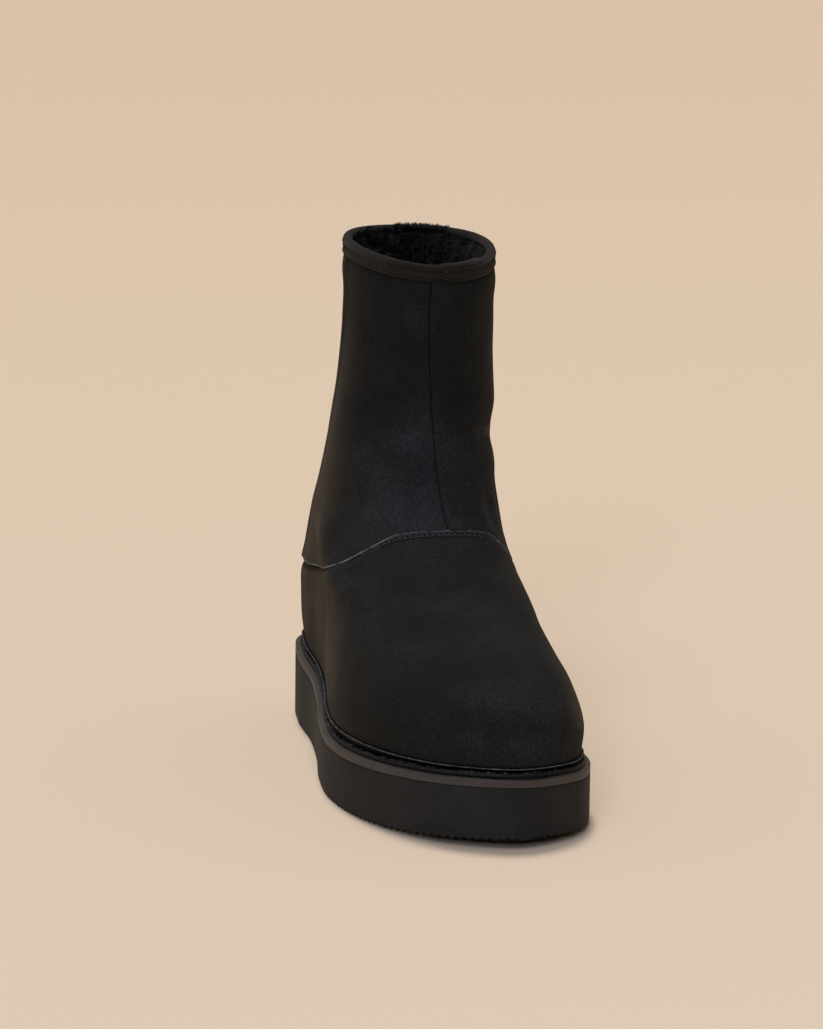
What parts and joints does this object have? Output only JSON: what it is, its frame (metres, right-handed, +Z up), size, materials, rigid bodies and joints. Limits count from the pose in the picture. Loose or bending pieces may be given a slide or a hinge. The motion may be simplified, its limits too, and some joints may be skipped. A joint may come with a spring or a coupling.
{
  "type": "sheepskin ankle boot",
  "caption": "Right ankle boot with a hollow fleece-lined upper, a taped collar, a welted base and a thick wedge platform sole.",
  "frame": {"origin": "middle of the sole's footprint on the floor", "axes": "+Z up; the toe points along -Y and the heel along +Y; +X is the inner (medial) side of the right foot"},
  "size_m": [0.1067, 0.284, 0.2383],
  "materials": {
    "outsole": "matte foam rubber, near black",
    "midsole": "smooth satin foam rubber, taupe brown",
    "welt": "black strip with coarse black stitching",
    "insole": "black sheepskin fleece",
    "rand": "glossy black edge strip",
    "upper": "black napped sheepskin suede outside, black fleece inside",
    "collar_binding": "ribbed brown-black woven tape"
  },
  "bodies": {
    "root": {"outsole": "outsole", "midsole": "midsole", "welt": "welt", "insole": "insole", "rand": "rand", "upper": "upper", "collar_binding": "collar_binding"}
  },
  "joints": []
}
